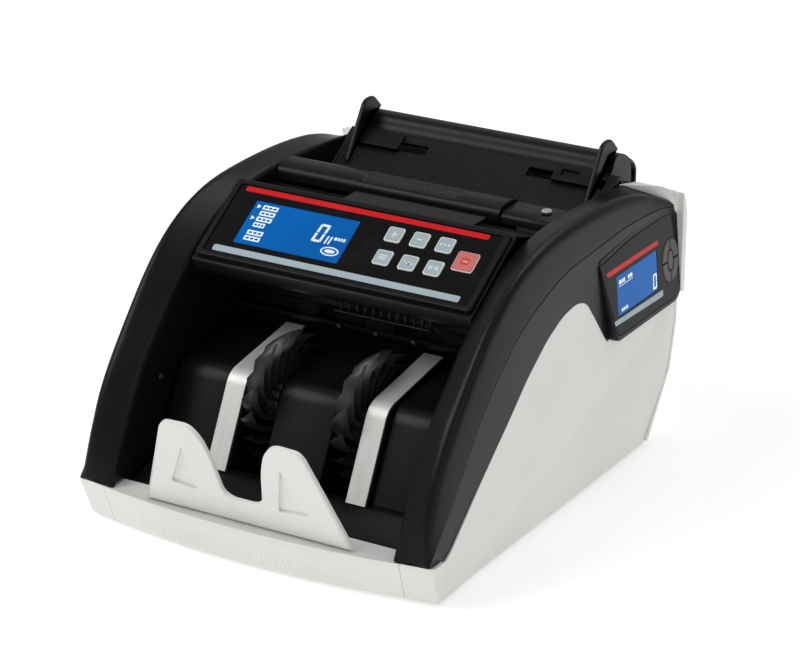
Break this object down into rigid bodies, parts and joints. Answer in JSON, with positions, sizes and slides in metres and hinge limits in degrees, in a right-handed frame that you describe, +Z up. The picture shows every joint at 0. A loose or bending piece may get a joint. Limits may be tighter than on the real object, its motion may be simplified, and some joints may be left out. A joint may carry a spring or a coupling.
{
  "type": "banknote counting machine",
  "caption": "Desktop banknote counter: rear hopper with sliding guides, tilted key panel, side display, paddle wheels and a front stacker with twin fins.",
  "frame": {"origin": "on the table under the middle of the machine, halfway between its front and rear and on the casing's middle plane", "axes": "+Z up, -Y towards the operator at the front stacker, +X to the viewer's right, the side with the display pod"},
  "size_m": [0.2476, 0.3319, 0.1952],
  "materials": {
    "white": "satin moulded ABS",
    "black": "satin moulded ABS",
    "gloss_black": "polished moulding",
    "overlay": "printed film",
    "display": "lit blue display",
    "grey_key": "soft key",
    "red_key": "soft key",
    "pad_key": "satin key",
    "steel": "brushed",
    "rubber": "matte",
    "blade": "soft blade plastic",
    "board": "printed board",
    "motor": "plated can",
    "bearing": "sintered bronze",
    "lamp": "lamp tube",
    "iron": "laminated core"
  },
  "bodies": {
    "machine": {"base_pan": "black", "rubber_feet": "rubber", "front_lip": "white", "stop_plate": "white", "left_side_shell": "white", "right_side_shell": "white", "left_arch": "black", "right_arch": "black", "rear_cover": "white", "head_housing": "black", "panel_bezel": "black", "panel_overlay": "overlay", "main_display": "display", "side_bezel": "gloss_black", "side_display": "display", "hopper_tray": "black", "cross_bar": "black", "deck_cover": "gloss_black", "stacker_block": "black", "note_strips": "steel", "throat_plate": "black", "exit_comb": "black", "frame_plates": "steel", "shaft_bearings": "bearing", "main_motor": "motor", "drive_belts": "rubber", "separation_roller": "rubber", "main_board": "board", "transformer": "iron", "uv_lamp": "lamp", "sensor_bar": "black", "mains_inlet": "black", "case_screws": "steel"},
    "left_guide": {"left_guide": "black"},
    "right_guide": {"right_guide": "black"},
    "guide_pinion": {"guide_pinion": "black"},
    "wheel_spinner": {"wheel_shaft": "steel", "stacker_wheels": "blade", "wheel_pulley": "black"},
    "feed_roll": {"feed_shaft": "steel", "feed_rollers": "rubber", "feed_pulley": "black"},
    "pickup_roll": {"pickup_roller": "rubber"},
    "transport_roll": {"transport_roller": "rubber"},
    "pinch_roll": {"pinch_roller": "rubber"},
    "motor_rotor": {"motor_pulley": "black"},
    "power_switch": {"power_switch": "black"},
    "thickness_screw": {"thickness_screw": "steel"},
    "key_plus": {"key_plus": "grey_key"},
    "key_minus": {"key_minus": "grey_key"},
    "key_batch": {"key_batch": "grey_key"},
    "key_add": {"key_add": "grey_key"},
    "key_uv": {"key_uv": "grey_key"},
    "key_magnetic": {"key_magnetic": "grey_key"},
    "key_restart": {"key_restart": "red_key"},
    "pad_key_upper_front": {"pad_key_upper_front": "pad_key"},
    "pad_key_upper_rear": {"pad_key_upper_rear": "pad_key"},
    "pad_key_lower_front": {"pad_key_lower_front": "pad_key"},
    "pad_key_lower_rear": {"pad_key_lower_rear": "pad_key"},
    "pad_key_centre": {"pad_key_centre": "pad_key"}
  },
  "joints": [
    {"name": "left_guide_slide", "type": "slide", "parent": "machine", "child": "left_guide", "axis": [1, 0, 0], "range_m": [0, 0.028]},
    {"name": "right_guide_slide", "type": "slide", "parent": "machine", "child": "right_guide", "axis": [-1, 0, 0], "range_m": [0, 0.028]},
    {"name": "guide_pinion_spin", "type": "hinge", "parent": "machine", "child": "guide_pinion", "pos_m": [0, 0.12396, 0.16459], "axis": [0, -0.5446, 0.8387], "range_deg": [-330, 5]},
    {"name": "wheel_spin", "type": "hinge", "parent": "machine", "child": "wheel_spinner", "pos_m": [0, -0.061, 0.068], "axis": [1, 0, 0], "continuous": true},
    {"name": "feed_spin", "type": "hinge", "parent": "machine", "child": "feed_roll", "pos_m": [0, 0.061, 0.11], "axis": [1, 0, 0], "continuous": true},
    {"name": "pickup_spin", "type": "hinge", "parent": "machine", "child": "pickup_roll", "pos_m": [0, 0.094, 0.139], "axis": [1, 0, 0], "continuous": true},
    {"name": "transport_spin", "type": "hinge", "parent": "machine", "child": "transport_roll", "pos_m": [0, 0.015, 0.094], "axis": [1, 0, 0], "continuous": true},
    {"name": "pinch_spin", "type": "hinge", "parent": "machine", "child": "pinch_roll", "pos_m": [0, 0.0054, 0.113], "axis": [1, 0, 0], "continuous": true},
    {"name": "motor_spin", "type": "hinge", "parent": "machine", "child": "motor_rotor", "pos_m": [0, 0.1, 0.068], "axis": [1, 0, 0], "continuous": true},
    {"name": "power_switch_rock", "type": "hinge", "parent": "machine", "child": "power_switch", "pos_m": [0.072, 0.158, 0.114], "axis": [1, 0, 0], "range_deg": [0, 9]},
    {"name": "thickness_screw_turn", "type": "hinge", "parent": "machine", "child": "thickness_screw", "pos_m": [0.088, 0.049, 0.172], "axis": [0, 0, 1], "range_deg": [-180, 180]},
    {"name": "key_plus_press", "type": "slide", "parent": "machine", "child": "key_plus", "axis": [0, 0.5358, -0.8443], "range_m": [0, 0.0006], "stiffness_N_per_m": 2000},
    {"name": "key_minus_press", "type": "slide", "parent": "machine", "child": "key_minus", "axis": [0, 0.5358, -0.8443], "range_m": [0, 0.0006], "stiffness_N_per_m": 2000},
    {"name": "key_batch_press", "type": "slide", "parent": "machine", "child": "key_batch", "axis": [0, 0.5358, -0.8443], "range_m": [0, 0.0006], "stiffness_N_per_m": 2000},
    {"name": "key_add_press", "type": "slide", "parent": "machine", "child": "key_add", "axis": [0, 0.5358, -0.8443], "range_m": [0, 0.0006], "stiffness_N_per_m": 2000},
    {"name": "key_uv_press", "type": "slide", "parent": "machine", "child": "key_uv", "axis": [0, 0.5358, -0.8443], "range_m": [0, 0.0006], "stiffness_N_per_m": 2000},
    {"name": "key_magnetic_press", "type": "slide", "parent": "machine", "child": "key_magnetic", "axis": [0, 0.5358, -0.8443], "range_m": [0, 0.0006], "stiffness_N_per_m": 2000},
    {"name": "key_restart_press", "type": "slide", "parent": "machine", "child": "key_restart", "axis": [0, 0.5358, -0.8443], "range_m": [0, 0.0006], "stiffness_N_per_m": 2000},
    {"name": "pad_key_upper_front_press", "type": "slide", "parent": "machine", "child": "pad_key_upper_front", "axis": [-0.9962, 0, -0.0872], "range_m": [0, 0.0008], "stiffness_N_per_m": 1500},
    {"name": "pad_key_upper_rear_press", "type": "slide", "parent": "machine", "child": "pad_key_upper_rear", "axis": [-0.9962, 0, -0.0872], "range_m": [0, 0.0008], "stiffness_N_per_m": 1500},
    {"name": "pad_key_lower_front_press", "type": "slide", "parent": "machine", "child": "pad_key_lower_front", "axis": [-0.9962, 0, -0.0872], "range_m": [0, 0.0008], "stiffness_N_per_m": 1500},
    {"name": "pad_key_lower_rear_press", "type": "slide", "parent": "machine", "child": "pad_key_lower_rear", "axis": [-0.9962, 0, -0.0872], "range_m": [0, 0.0008], "stiffness_N_per_m": 1500},
    {"name": "pad_key_centre_press", "type": "slide", "parent": "machine", "child": "pad_key_centre", "axis": [-0.9962, 0, -0.0872], "range_m": [0, 0.0008], "stiffness_N_per_m": 1500}
  ],
  "couplings": [
    {"joint": "right_guide_slide", "follows": "left_guide_slide", "ratio": 1},
    {"joint": "guide_pinion_spin", "follows": "left_guide_slide", "rad_per_m": -192.31},
    {"joint": "motor_spin", "follows": "feed_spin", "ratio": 1.7778},
    {"joint": "pickup_spin", "follows": "feed_spin", "ratio": 1},
    {"joint": "transport_spin", "follows": "feed_spin", "ratio": 1},
    {"joint": "pinch_spin", "follows": "feed_spin", "ratio": -2},
    {"joint": "wheel_spin", "follows": "feed_spin", "ratio": 1.1429}
  ]
}
